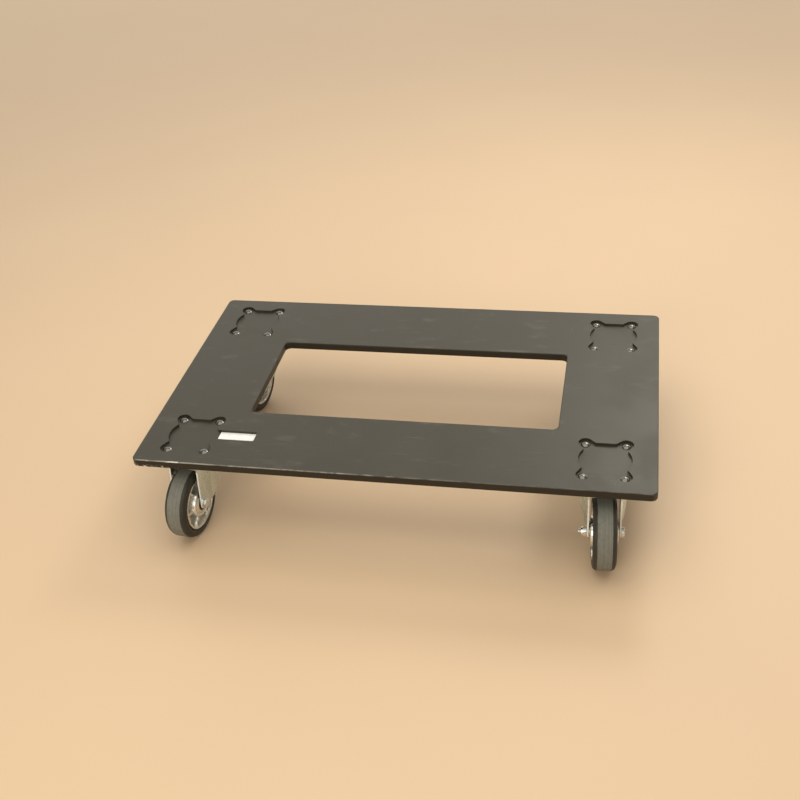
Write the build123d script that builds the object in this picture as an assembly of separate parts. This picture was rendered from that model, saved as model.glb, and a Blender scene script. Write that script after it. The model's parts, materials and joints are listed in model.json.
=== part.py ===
from build123d import *
import math
import os

# Caster board for a stack of loudspeaker cabinets. Millimetres, +Z up.
# Origin: on the floor, under the middle of the board. X runs along the board, Y across it.

# ---- driving dimensions -------------------------------------------------------------------
board_length = 1100.0
board_depth = 682.0
board_thickness = 18.0
board_top = 215.0
board_corner_radius = 14.0
board_edge_round = 2.0
cutout_length = 684.0
cutout_depth = 293.0
cutout_corner_radius = 14.0

pivot_x = 444.0
pivot_y = 239.0
trail = 67.5
wheel_radius = 80.0

bolt_spacing_x = 83.5
bolt_spacing_y = 106.5
pocket_radius = 54.8
pocket_depth = 5.5
lobe_radius = 14.8

# heading of each caster, from its king pin to its axle, in degrees from +X
casters = {
    "front_left": (-1, -1, -96.4),
    "front_right": (1, -1, -86.0),
    "rear_left": (-1, 1, -97.3),
    "rear_right": (1, 1, 96.4),
}

# ---- levels that follow from them ---------------------------------------------------------
board_underside = board_top - board_thickness
plate_thickness = 5.0
plate_underside = board_underside - plate_thickness
race_height = 5.0
crown_thickness = 5.0
crown_underside = 172.0
crown_top = crown_underside + crown_thickness
pad_top = crown_top + 5.0

# ---- board pockets ------------------------------------------------------------------------
pocket_flat_half = 21.0
pocket_flat_y = 53.8
pocket_waist_x = 46.3
pocket_waist_y = 31.0
bolt_hole_radius = 4.5
label_start = 57.5
label_end = 139.5
label_recess_start = 30.0
label_recess_end = 141.0
label_recess_back = 19.0
label_recess_front = -13.0
label_recess_corner = 4.0
label_thickness = 0.4
label_margin = 0.6

# ---- plate bolts --------------------------------------------------------------------------
bolt_radius = 4.0
bolt_head_radius = 10.0
bolt_head_height = 4.4
bolt_rim_height = 0.6
bolt_end = 181.0
nut_across_flats = 13.0
nut_height = 7.0
nut_flange_radius = 9.0
nut_flange_height = 1.6
thread_gap = 0.05

# ---- swivel head --------------------------------------------------------------------------
plate_length_x = 112.0
plate_length_y = 140.0
plate_corner_radius = 10.0
race_inner_radius = 26.0
race_outer_radius = 41.0
upper_pitch_radius = 34.0
upper_ball_radius = 4.0
upper_ball_count = 24
upper_ball_level = 184.5
lower_pitch_radius = 18.5
lower_ball_radius = 3.0
lower_ball_count = 16
lower_ball_level = 169.6
pin_radius = 8.0
pin_head_radius = 11.0
pin_head_height = 3.0
pin_flange_radius = 25.0
pin_flange_height = 4.0
pin_bottom = 163.5
running_gap = 0.06
race_gap = 0.3
fixed_gap = 0.05
seal_wall = 2.4
seal_gap = 0.6
seal_bottom = 177.0
seal_top = 190.8

# ---- fork ---------------------------------------------------------------------------------
sheet = 3.5
leg_outer = 34.5
leg_inner = leg_outer - sheet
head_radius = 48.0
leg_flat_start = 36.5
fork_front = 110.0
fork_half_width = 60.0
crown_round = 6.0

# ---- axle ---------------------------------------------------------------------------------
axle_radius = 6.0
axle_head_across_flats = 19.0
axle_head_height = 7.5
axle_nut_height = 12.0
axle_collar_height = 3.5
axle_collar_step = 0.6
axle_head_chamfer = 0.5
axle_stub = 6.0
sleeve_radius = 7.5

# ---- wheel --------------------------------------------------------------------------------
tyre_half_width = 24.5
tread_half_width = 14.8
shoulder_radius = 68.6
shoulder_bulge = 1.6
bead_chamfer = 1.4
rim_radius = 60.0
rim_inner_radius = 52.5
rim_half_width = 24.0
rim_chamfer = 1.0
hub_half_length = 29.5
hub_land_radius = 19.5
hub_dish_depth = 2.4
hub_end_radius = 31.0
hub_root_radius = 36.0
web_half_thickness = 3.5
rib_count = 6
rib_thickness = 6.0
rib_crest_at_hub = 22.5
rib_crest_at_rim = 19.0
bearing_inner_face = 16.5
bearing_outer_face = 27.5
bearing_outer_radius = 17.5
bearing_outer_bore = 14.8
bearing_inner_land = 10.2
bearing_pitch_radius = 12.5
bearing_ball_radius = 3.0
bearing_ball_count = 8
hub_bore_radius = 11.5
hub_seal_outer_face = 29.2
hub_seal_bore = 8.0


def signs():
    """The four corners of a rectangle, as pairs of signs."""
    return [(x, y) for x in (-1, 1) for y in (-1, 1)]


def tangent_point(start, centre, radius, side):
    """Where a line from start touches a circle; side is +1 or -1."""
    dx = start[0] - centre[0]
    dy = start[1] - centre[1]
    turn = side * math.acos(radius / math.hypot(dx, dy))
    angle = math.atan2(dy, dx) + turn
    return centre[0] + radius * math.cos(angle), centre[1] + radius * math.sin(angle)


def disc(radius, low, high):
    """A round bar on Z between two levels."""
    return Pos(0, 0, low) * extrude(Circle(radius), high - low)


def ring(inner, outer, low, high):
    """A flat ring on Z between two levels."""
    return Pos(0, 0, low) * extrude(Circle(outer) - Circle(inner), high - low)


def hexagon(across_flats, low, high):
    """A hexagonal bar on Z between two levels."""
    return Pos(0, 0, low) * extrude(RegularPolygon(across_flats / math.sqrt(3), 6), high - low)


def ball_row(pitch, radius, count, level):
    """Balls evenly spaced round Z."""
    row = []
    for i in range(count):
        angle = math.tau * i / count
        row.append(Pos(pitch * math.cos(angle), pitch * math.sin(angle), level) * Sphere(radius))
    return row


def lathe(points):
    """A turned body: a closed outline of (radius, height) points revolved about Z."""
    outline = make_face(Polyline(*[(r, 0, z) for r, z in points], close=True))
    return revolve(outline, Axis.Z)


def write(name, shape):
    """Write one named piece, or a group of separate solids, to its file."""
    solids = [solid for item in (shape if isinstance(shape, list) else [shape]) for solid in item.solids()]
    piece = solids[0] if len(solids) == 1 else Compound(children=solids)
    export_step(piece, f"parts/{name}.step")


# ---- board --------------------------------------------------------------------------------
def bolt_centres():
    """The four bolt places round a king pin."""
    return [(sx * bolt_spacing_x / 2, sy * bolt_spacing_y / 2) for sx, sy in signs()]


def pocket_outline():
    """Round recess with a flat front and back, and a flared ear out to each bolt lobe."""
    outline = Circle(pocket_radius) & Rectangle(3 * pocket_radius, 2 * pocket_flat_y)
    outline += Rectangle(2 * pocket_flat_half, 2 * pocket_flat_y)
    for sx, sy in signs():
        lobe = (sx * bolt_spacing_x / 2, sy * bolt_spacing_y / 2)
        inner = (sx * pocket_flat_half, sy * pocket_flat_y)
        waist = (sx * pocket_waist_x, sy * pocket_waist_y)
        inner_touch = tangent_point(inner, lobe, lobe_radius, -sx * sy)
        waist_touch = tangent_point(waist, lobe, lobe_radius, sx * sy)
        ear = Polyline(inner, inner_touch, lobe, waist_touch, waist, (0, 0), close=True)
        outline += make_face(ear)
        outline += Pos(*lobe) * Circle(lobe_radius)
    return outline


def board_pocket():
    """Everything cut out of the board above and through one caster plate."""
    cut = Pos(0, 0, board_top - pocket_depth) * extrude(pocket_outline(), 2 * pocket_depth)
    for x, y in bolt_centres():
        cut += Pos(x, y, 0) * disc(bolt_hole_radius, board_underside - 1, board_top)
    return cut


def label_recess():
    """Shallow tray that runs out of the front left pocket."""
    length = label_recess_end - label_recess_start
    width = label_recess_back - label_recess_front
    tray = extrude(RectangleRounded(length, width, label_recess_corner), 2 * pocket_depth)
    middle_x = (label_recess_end + label_recess_start) / 2
    middle_y = (label_recess_back + label_recess_front) / 2
    return Pos(middle_x - pivot_x, middle_y - pivot_y, board_top - pocket_depth) * tray


def deck_board():
    """Plywood board with its cut-out, pockets and bolt holes."""
    plan = RectangleRounded(board_length, board_depth, board_corner_radius)
    plan -= RectangleRounded(cutout_length, cutout_depth, cutout_corner_radius)
    board = Pos(0, 0, board_underside) * extrude(plan, board_thickness)
    faces = board.faces().sort_by(Axis.Z)
    board = fillet(faces[0].edges() + faces[-1].edges(), board_edge_round)
    for sx, sy, _ in casters.values():
        board -= Pos(sx * pivot_x, sy * pivot_y, 0) * board_pocket()
    return board - label_recess()


def id_label():
    """Blank label on the floor of its tray."""
    length = label_end - label_start
    width = label_recess_back - label_recess_front - 2 * label_margin
    sheet_plan = Rectangle(length, width)
    corners = sheet_plan.vertices().sort_by(Axis.X)[-2:]
    sheet_plan = fillet(corners, label_recess_corner)
    middle_x = (label_end + label_start) / 2
    middle_y = (label_recess_back + label_recess_front) / 2
    floor = board_top - pocket_depth
    return Pos(middle_x - pivot_x, middle_y - pivot_y, floor) * extrude(sheet_plan, label_thickness)


def plate_bolt():
    """Round-headed bolt, its head on the floor of the pocket."""
    seat = board_top - pocket_depth
    rise = bolt_head_height - bolt_rim_height
    dome_radius = (bolt_head_radius**2 + rise**2) / (2 * rise)
    dome = Pos(0, 0, seat + bolt_head_height - dome_radius) * Sphere(dome_radius)
    head = disc(bolt_head_radius, seat, seat + bolt_head_height) & dome
    return head + disc(bolt_radius, bolt_end, seat + bolt_rim_height)


def plate_nut():
    """Flanged nut against the underside of a caster plate."""
    nut = hexagon(nut_across_flats, plate_underside - nut_flange_height - nut_height, plate_underside)
    nut += disc(nut_flange_radius, plate_underside - nut_flange_height, plate_underside)
    return nut - disc(bolt_radius + thread_gap, 0, board_top)


def repeat_at_bolts(piece):
    """One copy of a fastener at each of the sixteen bolt places."""
    copies = []
    for sx, sy, _ in casters.values():
        for x, y in bolt_centres():
            copies.append(Pos(sx * pivot_x + x, sy * pivot_y + y, 0) * piece)
    return copies


# ---- swivel head, round the king pin on Z -------------------------------------------------
def groove(pitch, tube, level):
    """Ball groove to cut into a race."""
    return Pos(0, 0, level) * Torus(pitch, tube)


def top_plate():
    """Rectangular plate with four bolt holes and the upper ball race under it."""
    plan = RectangleRounded(plate_length_x, plate_length_y, plate_corner_radius)
    plate = Pos(0, 0, plate_underside) * extrude(plan, plate_thickness)
    plate += ring(race_inner_radius, race_outer_radius, plate_underside - race_height, plate_underside + 1)
    plate -= groove(upper_pitch_radius, upper_ball_radius + fixed_gap, upper_ball_level)
    plate -= disc(pin_radius + fixed_gap, 0, board_top)
    plate -= disc(pin_head_radius + fixed_gap, board_underside - pin_head_height, board_top)
    for x, y in bolt_centres():
        plate -= Pos(x, y, 0) * disc(bolt_hole_radius, 0, board_top)
    return plate


def king_pin():
    """Riveted pin whose lower flange carries the second row of balls."""
    pin = disc(pin_radius, pin_bottom, board_underside)
    pin += disc(pin_head_radius, board_underside - pin_head_height, board_underside)
    flange = disc(pin_flange_radius, pin_bottom, pin_bottom + pin_flange_height)
    flange -= groove(lower_pitch_radius, lower_ball_radius + fixed_gap, lower_ball_level)
    return pin + flange


def head_balls():
    """Upper and lower rows of swivel balls."""
    upper = ball_row(upper_pitch_radius, upper_ball_radius, upper_ball_count, upper_ball_level)
    lower = ball_row(lower_pitch_radius, lower_ball_radius, lower_ball_count, lower_ball_level)
    return upper + lower


# ---- fork and axle, heading along +X from the king pin ------------------------------------
axle_location = Pos(trail, 0, wheel_radius) * Rot(-90, 0, 0)


def fork_plan(half_width, radius):
    """Plan outline: a round head whose sides run tangent into two parallel legs."""
    plan = Circle(radius)
    corner = (leg_flat_start, half_width)
    touch = tangent_point(corner, (0, 0), radius, 1)
    side = [touch, corner, (fork_front, half_width)]
    mirrored = [(x, -y) for x, y in reversed(side)]
    return plan + make_face(Polyline(*side, *mirrored, close=True))


def fork_side():
    """Side outline, in (distance from the king pin, height): legs taper to the axle."""
    axle_height = wheel_radius
    top = crown_top
    corners = [
        (trail + 2.4, top, 0),
        (trail + 13.4, axle_height - 12.8, 12.0),
        (trail - 36.0, axle_height - 11.5, 12.0),
        (trail - 56.0, axle_height + 26.0, 30.0),
        (trail - 66.0, crown_underside - 8.0, 14.0),
        (-fork_half_width, crown_underside - 8.0, 0),
        (-fork_half_width, top, 0),
    ]
    points = [(x, 0, z) for x, z, _ in corners]
    return make_face(FilletPolyline(*points, radius=[r for _, _, r in corners], close=True))


def fork():
    """Pressed steel fork: crown, skirt and two legs, with the lower races and axle holes."""
    depth = crown_top
    body = extrude(fork_plan(leg_outer, head_radius), depth)
    body = fillet(body.faces().sort_by(Axis.Z)[-1].edges(), crown_round)
    body -= extrude(fork_plan(leg_inner, head_radius - sheet), crown_underside)
    profile = extrude(fork_side(), fork_half_width, dir=(0, 1, 0), both=True)
    body = body & profile
    body += ring(race_inner_radius, race_outer_radius, crown_top - 1, pad_top)
    body -= groove(upper_pitch_radius, upper_ball_radius + race_gap, upper_ball_level)
    body -= groove(lower_pitch_radius, lower_ball_radius + race_gap, lower_ball_level)
    body -= disc(pin_radius + running_gap, 0, board_top)
    return body - axle_location * disc(axle_radius + fixed_gap, -fork_half_width, fork_half_width)


def head_seal():
    """Dust ring round the upper ball race, standing on the crown."""
    inner = race_outer_radius + seal_gap
    return ring(inner, inner + seal_wall, seal_bottom, seal_top)


def axle_bolt():
    """Hex-headed axle bolt; its threaded end stands past the nut."""
    shank = disc(axle_radius, -leg_outer - axle_nut_height - axle_stub, leg_outer)
    head = hexagon(axle_head_across_flats, leg_outer, leg_outer + axle_head_height)
    chamfer_cone = Pos(0, 0, leg_outer) * Cone(
        axle_head_across_flats / 2 + axle_head_height,
        axle_head_across_flats / 2 - axle_head_chamfer,
        axle_head_height,
        align=(Align.CENTER, Align.CENTER, Align.MIN),
    )
    return shank + (head & chamfer_cone)


def axle_nut():
    """Lock nut: a hexagon with a round collar."""
    outer_face = -leg_outer - axle_nut_height
    collar_face = outer_face + axle_collar_height
    nut = hexagon(axle_head_across_flats, collar_face, -leg_outer)
    nut += disc(axle_head_across_flats / 2 - axle_collar_step, outer_face, collar_face)
    return nut - disc(axle_radius + thread_gap, outer_face - 1, 0)


def axle_sleeve():
    """Spacer tube between the legs, on which the bearings sit."""
    return ring(axle_radius + fixed_gap, sleeve_radius, -leg_inner, leg_inner)


# ---- wheel, built round Z -----------------------------------------------------------------
def both_sides(piece):
    """A piece and its mirror image across the wheel's middle plane."""
    return [piece, mirror(piece, Plane.XY)]


def bearing_ball_level():
    """Distance of a bearing's balls from the wheel's middle plane."""
    return (bearing_inner_face + bearing_outer_face) / 2


def bearing_inner_rings():
    """Inner rings of the two ball bearings, on the sleeve."""
    inner = ring(sleeve_radius, bearing_inner_land, bearing_inner_face, bearing_outer_face)
    inner -= groove(bearing_pitch_radius, bearing_ball_radius + race_gap, bearing_ball_level())
    return both_sides(inner)


def bearing_outer_rings():
    """Outer rings of the two ball bearings, in the hub."""
    outer = ring(bearing_outer_bore, bearing_outer_radius, bearing_inner_face, bearing_outer_face)
    outer -= groove(bearing_pitch_radius, bearing_ball_radius + fixed_gap, bearing_ball_level())
    return both_sides(outer)


def bearing_balls():
    """Balls of the two bearings."""
    balls = []
    for level in (-bearing_ball_level(), bearing_ball_level()):
        balls += ball_row(bearing_pitch_radius, bearing_ball_radius, bearing_ball_count, level)
    return balls


def hub_seals():
    """Black rings that close the hub round the sleeve."""
    return both_sides(ring(hub_seal_bore, bearing_outer_radius, bearing_outer_face, hub_seal_outer_face))


def wheel_centre():
    """Cast aluminium centre: hub, web, ribs and rim."""
    upper = [
        (hub_bore_radius, bearing_inner_face),
        (bearing_outer_radius, bearing_inner_face),
        (bearing_outer_radius, hub_half_length),
        (hub_land_radius, hub_half_length),
        (hub_land_radius + hub_dish_depth, hub_half_length - hub_dish_depth),
        (hub_end_radius - hub_dish_depth, hub_half_length - hub_dish_depth),
        (hub_end_radius - rim_chamfer, hub_half_length - rim_chamfer),
        (hub_end_radius + rim_chamfer, hub_half_length - hub_dish_depth),
        (hub_root_radius, web_half_thickness),
        (rim_inner_radius, web_half_thickness),
        (rim_inner_radius + rim_chamfer, rim_half_width - rim_chamfer),
        (rim_inner_radius + 2 * rim_chamfer, rim_half_width),
        (rim_radius, rim_half_width),
    ]
    lower = [(r, -z) for r, z in reversed(upper)]
    centre = lathe(upper + lower)
    rib_low = hub_end_radius
    rib_high = rim_inner_radius + 2 * rim_chamfer
    rib_plan = [(rib_low, rib_crest_at_hub), (rib_high, rib_crest_at_rim)]
    rib_plan += [(r, -z) for r, z in reversed(rib_plan)]
    rib_face = make_face(Polyline(*[(r, 0, z) for r, z in rib_plan], close=True))
    rib = extrude(rib_face, rib_thickness / 2, dir=(0, 1, 0), both=True)
    for i in range(rib_count):
        centre += Rot(0, 0, 360 * i / rib_count) * rib
    return centre


def tyre():
    """Rubber tyre: flat tread, rounded shoulders and upright sidewalls."""
    half = [
        (rim_radius, -tyre_half_width + bead_chamfer),
        (rim_radius + bead_chamfer, -tyre_half_width),
        (shoulder_radius, -tyre_half_width),
    ]
    middle = (
        (shoulder_radius + wheel_radius) / 2 + shoulder_bulge,
        -(tyre_half_width + tread_half_width) / 2 - shoulder_bulge,
    )
    tread = (wheel_radius, -tread_half_width)

    def at(point, side=1):
        return (point[0], 0, side * point[1])

    low = Polyline(*[at(p) for p in half])
    low_arc = ThreePointArc(at(half[-1]), at(middle), at(tread))
    flat = Line(at(tread), at(tread, -1))
    high_arc = ThreePointArc(at(tread, -1), at(middle, -1), at(half[-1], -1))
    high = Polyline(*[at(p, -1) for p in reversed(half)])
    inside = Line(at(half[0], -1), at(half[0]))
    return revolve(make_face(low + low_arc + flat + high_arc + high + inside), Axis.Z)


# ---- write every piece --------------------------------------------------------------------
os.makedirs("parts", exist_ok=True)

write("deck_board", deck_board())
write("id_label", id_label())
write("deck_bolts", repeat_at_bolts(plate_bolt()))
write("deck_nuts", repeat_at_bolts(plate_nut()))

fixed_pieces = {
    "top_plate": top_plate(),
    "king_pin": king_pin(),
    "head_balls": head_balls(),
}
turning_pieces = {
    "fork": fork(),
    "head_seal": head_seal(),
}
axle_pieces = {
    "axle_bolt": axle_bolt(),
    "axle_nut": axle_nut(),
    "axle_sleeve": axle_sleeve(),
    "bearing_inner_rings": bearing_inner_rings(),
    "bearing_outer_rings": bearing_outer_rings(),
    "bearing_balls": bearing_balls(),
    "hub_seals": hub_seals(),
    "wheel_centre": wheel_centre(),
    "tyre": tyre(),
}


def placed(shape, location):
    """Move one piece, or each piece of a group."""
    if isinstance(shape, list):
        return [location * item for item in shape]
    return location * shape


for caster, (side_x, side_y, heading) in casters.items():
    base = Pos(side_x * pivot_x, side_y * pivot_y, 0)
    turned = base * Rot(0, 0, heading)
    for name, shape in fixed_pieces.items():
        write(f"{caster}_{name}", placed(shape, base))
    for name, shape in turning_pieces.items():
        write(f"{caster}_{name}", placed(shape, turned))
    for name, shape in axle_pieces.items():
        write(f"{caster}_{name}", placed(shape, turned * axle_location))
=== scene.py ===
"""Looks of a caster board for loudspeaker cabinets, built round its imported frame."""

import json
import logging
import math
from dataclasses import dataclass, field
from enum import Enum
from typing import Callable, Iterable

import bmesh
import bpy
import numpy as np
from mathutils import Matrix, Vector


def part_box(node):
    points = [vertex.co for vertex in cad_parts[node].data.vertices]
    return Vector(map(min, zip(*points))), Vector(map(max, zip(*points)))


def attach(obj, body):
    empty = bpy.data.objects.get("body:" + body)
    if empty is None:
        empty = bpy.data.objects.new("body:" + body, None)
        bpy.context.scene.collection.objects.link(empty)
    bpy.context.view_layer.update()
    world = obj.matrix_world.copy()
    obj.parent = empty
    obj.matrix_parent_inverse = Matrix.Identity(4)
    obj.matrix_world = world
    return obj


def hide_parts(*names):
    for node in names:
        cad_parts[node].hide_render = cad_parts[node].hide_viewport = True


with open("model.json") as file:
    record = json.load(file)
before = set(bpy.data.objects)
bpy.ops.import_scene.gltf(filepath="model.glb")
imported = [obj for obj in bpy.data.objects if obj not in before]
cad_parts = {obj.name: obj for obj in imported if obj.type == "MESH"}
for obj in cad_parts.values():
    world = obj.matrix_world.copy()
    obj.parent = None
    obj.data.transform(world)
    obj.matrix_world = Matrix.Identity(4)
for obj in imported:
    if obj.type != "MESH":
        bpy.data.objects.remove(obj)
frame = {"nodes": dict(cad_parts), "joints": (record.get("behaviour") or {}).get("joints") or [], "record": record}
log = logging.getLogger("caster_board")
MM = 0.001
CASTERS = ("front_left", "front_right", "rear_left", "rear_right")
TURN = 2.0 * math.pi
SHARP = math.radians(40.0)
FLAT = math.radians(0.5)
WELD = 0.0001 * MM
COPY_WELD = 0.001 * MM

Colour = tuple[float, float, float, float]
Triple = tuple[float, float, float]
Socket = bpy.types.NodeSocket
Node = bpy.types.Node
Shell = tuple[np.ndarray, np.ndarray]


# ---- wiring helper ------------------------------------------------------------------------
class Wiring:
    """Adds nodes to one node tree and joins them.

    Args:
        tree: the node tree of a material or a node group.
    """

    def __init__(self, tree: bpy.types.NodeTree) -> None:
        """Keep the tree that the nodes go into."""
        self.tree = tree

    def put(self, socket: Socket, value: object) -> None:
        """Link a socket into an input, or set the input's own value.

        Args:
            socket: the input.
            value: the socket to link, the value to set, or None to leave the input alone.
        """
        if isinstance(value, Socket):
            self.tree.links.new(value, socket)
        elif value is not None:
            socket.default_value = value

    def node(self, kind: str, inputs: dict | None = None, **settings: object) -> Node:
        """Add a node.

        Args:
            kind: the node's type without its ShaderNode prefix.
            inputs: values or links by input name or number.
            settings: attributes of the node.

        Returns:
            The new node.
        """
        name = kind if kind.startswith("Node") else "ShaderNode" + kind
        made = self.tree.nodes.new(name)
        for key, value in settings.items():
            setattr(made, key, value)
        for key, value in (inputs or {}).items():
            self.put(made.inputs[key], value)
        return made

    def math(self, operation: str, a: object, b: object = None, clamp: bool = False) -> Socket:
        """Work on two values; returns the result's socket."""
        return self.node("Math", {0: a, 1: b}, operation=operation, use_clamp=clamp).outputs[0]

    def times(self, a: object, b: object) -> Socket:
        """The product of two values."""
        return self.math("MULTIPLY", a, b)

    def plus(self, a: object, b: object) -> Socket:
        """The sum of two values."""
        return self.math("ADD", a, b)

    def minus(self, a: object, b: object) -> Socket:
        """The first value less the second."""
        return self.math("SUBTRACT", a, b)

    def most(self, a: object, b: object) -> Socket:
        """The greater of two values."""
        return self.math("MAXIMUM", a, b)

    def vector(self, operation: str, a: object, b: object = None) -> Socket:
        """Work on two vectors; returns the result's socket."""
        return self.node("VectorMath", {0: a, 1: b}, operation=operation).outputs[0]

    def dot(self, a: object, b: object) -> Socket:
        """The dot product of two vectors."""
        return self.node("VectorMath", {0: a, 1: b}, operation="DOT_PRODUCT").outputs["Value"]

    def split(self, vector: object) -> bpy.types.NodeOutputs:
        """The X, Y and Z outputs of a vector."""
        return self.node("SeparateXYZ", {0: vector}).outputs

    def band(self, value: object, low: float, high: float, to_low: float = 0.0,
             to_high: float = 1.0) -> Socket:
        """Step a value smoothly.

        Args:
            value: what is stepped.
            low: where the step starts.
            high: where it ends, which may lie below low.
            to_low: result at low.
            to_high: result at high.

        Returns:
            The stepped value's socket.
        """
        inputs = {"Value": value, "From Min": low, "From Max": high, "To Min": to_low, "To Max": to_high}
        return self.node("MapRange", inputs, interpolation_type="SMOOTHSTEP").outputs["Result"]

    def mix(self, factor: object, a: object, b: object) -> Socket:
        """Mix two colours; returns the colour's socket."""
        return self.node("Mix", {0: factor, 6: a, 7: b}, data_type="RGBA").outputs[2]

    def noise(self, vector: object, scale: object, detail: float = 3.0, roughness: float = 0.5) -> Socket:
        """Fractal noise of a position; returns its value."""
        inputs = {"Vector": vector, "Scale": scale, "Detail": detail, "Roughness": roughness}
        return self.node("TexNoise", inputs).outputs["Fac"]

    def place(self) -> Socket:
        """Object coordinates, in metres."""
        return self.node("TexCoord").outputs["Object"]


# ---- shared effects as node groups --------------------------------------------------------
class Effect(Enum):
    """The shared effects, each with its node group's name."""

    GRAIN = "surface_grain"
    SCUFFS = "surface_scuffs"
    EDGE_WEAR = "edge_wear"
    DUST = "dust_film"


def new_group(effect: Effect, inputs: Iterable[tuple[str, object]],
              outputs: Iterable[str]) -> tuple[Wiring, bpy.types.NodeOutputs, bpy.types.NodeInputs]:
    """Start a shader node group with named sockets.

    Args:
        effect: the effect that the group makes.
        inputs: (socket name, starting value) of each input; a triple or None makes a vector.
        outputs: names of the outputs, which are values.

    Returns:
        The group's wiring, the sockets of its inputs, and those that its results go into.
    """
    tree = bpy.data.node_groups.new(effect.value, "ShaderNodeTree")
    for label, value in inputs:
        kind = "NodeSocketFloat" if isinstance(value, float) else "NodeSocketVector"
        socket = tree.interface.new_socket(label, in_out="INPUT", socket_type=kind)
        if value is not None:
            socket.default_value = value
    for label in outputs:
        tree.interface.new_socket(label, in_out="OUTPUT", socket_type="NodeSocketFloat")
    w = Wiring(tree)
    return w, w.node("NodeGroupInput").outputs, w.node("NodeGroupOutput").inputs


def grain_group() -> bpy.types.NodeTree:
    """Fine surface grain.

    Returns:
        A group whose height is 0.65 of a coarse noise and 0.35 of one that is 3.1 times finer.
    """
    inputs = [("Vector", None), ("Size", 0.002)]
    w, given, out = new_group(Effect.GRAIN, inputs, ["Height"])
    scale = w.math("DIVIDE", 1.0, given["Size"])
    coarse = w.noise(given["Vector"], scale, 2.0, 0.6)
    fine = w.noise(given["Vector"], w.times(scale, 3.1), 1.0, 0.5)
    w.put(out["Height"], w.plus(w.times(coarse, 0.65), w.times(fine, 0.35)))
    return w.tree


def scuff_group() -> bpy.types.NodeTree:
    """Scratches.

    Returns:
        A group whose mask is a long thin noise where it passes a level, kept only inside soft patches.
    """
    inputs = [("Vector", None), ("Stretch", (6.0, 160.0, 60.0)), ("Amount", 0.3), ("Patch Size", 0.15)]
    w, given, out = new_group(Effect.SCUFFS, inputs, ["Mask"])
    lines = w.noise(w.vector("MULTIPLY", given["Vector"], given["Stretch"]), 1.0, 4.0, 0.7)
    level = w.minus(0.74, w.times(given["Amount"], 0.2))
    thin = w.band(w.minus(lines, level), 0.0, 0.05)
    patch = w.noise(given["Vector"], w.math("DIVIDE", 1.0, given["Patch Size"]), 2.0, 0.5)
    w.put(out["Mask"], w.math("MULTIPLY", thin, w.band(patch, 0.48, 0.62), clamp=True))
    return w.tree


def edge_wear_group() -> bpy.types.NodeTree:
    """Wear along the outer edge of a rectangle in plan.

    Returns:
        A group whose depth is the distance inside the edge, and whose mask is 1 where that depth is
        less than a reach that noise varies, broken by a coarser noise.
    """
    inputs = [("Vector", None), ("Centre", None), ("Half Size", (0.5, 0.5, 0.1)), ("Width", 0.004),
              ("Amount", 0.5), ("Grit", 0.01)]
    w, given, out = new_group(Effect.EDGE_WEAR, inputs, ["Mask", "Depth"])
    away = w.vector("ABSOLUTE", w.vector("SUBTRACT", given["Vector"], given["Centre"]))
    inside = w.split(w.vector("SUBTRACT", given["Half Size"], away))
    depth = w.math("MINIMUM", inside["X"], inside["Y"])
    grit = w.noise(given["Vector"], w.math("DIVIDE", 1.0, given["Grit"]), 5.0, 0.65)
    reach = w.times(given["Width"], w.minus(grit, 0.1))
    near = w.band(w.minus(reach, depth), 0.0, 0.6 * MM)
    broken = w.noise(given["Vector"], w.math("DIVIDE", 0.2, given["Grit"]), 3.0, 0.6)
    level = w.minus(0.75, w.times(given["Amount"], 0.4))
    kept = w.band(w.minus(broken, level), 0.0, 0.08)
    w.put(out["Mask"], w.math("MULTIPLY", near, kept, clamp=True))
    w.put(out["Depth"], depth)
    return w.tree


def dust_group() -> bpy.types.NodeTree:
    """Dust.

    Returns:
        A group whose mask is a patchy film that lies thicker where the surface faces up.
    """
    inputs = [("Vector", None), ("Patch Size", 0.08), ("Amount", 0.3)]
    w, given, out = new_group(Effect.DUST, inputs, ["Mask"])
    facing = w.split(w.node("NewGeometry").outputs["Normal"])["Z"]
    up = w.band(facing, -0.2, 1.0, 0.35, 1.0)
    patch = w.noise(given["Vector"], w.math("DIVIDE", 1.0, given["Patch Size"]), 5.0, 0.6)
    film = w.times(w.band(patch, 0.35, 0.75), given["Amount"])
    w.put(out["Mask"], w.math("MULTIPLY", film, up, clamp=True))
    return w.tree


MAKERS: dict[Effect, Callable[[], bpy.types.NodeTree]] = {
    Effect.GRAIN: grain_group,
    Effect.SCUFFS: scuff_group,
    Effect.EDGE_WEAR: edge_wear_group,
    Effect.DUST: dust_group,
}
GROUPS: dict[Effect, bpy.types.NodeTree] = {}
MATERIALS: dict[str, bpy.types.Material] = {}


def use(w: Wiring, effect: Effect, **values: object) -> bpy.types.NodeOutputs:
    """Place a shared effect in a material, making its group the first time.

    Args:
        w: wiring of the material.
        effect: the effect.
        values: inputs of the group, with _ for each space in a name.

    Returns:
        The outputs of the group's node.
    """
    if effect not in GROUPS:
        GROUPS[effect] = MAKERS[effect]()
    made = w.tree.nodes.new("ShaderNodeGroup")
    made.node_tree = GROUPS[effect]
    for key, value in values.items():
        w.put(made.inputs[key.replace("_", " ")], value)
    return made.outputs


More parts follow.
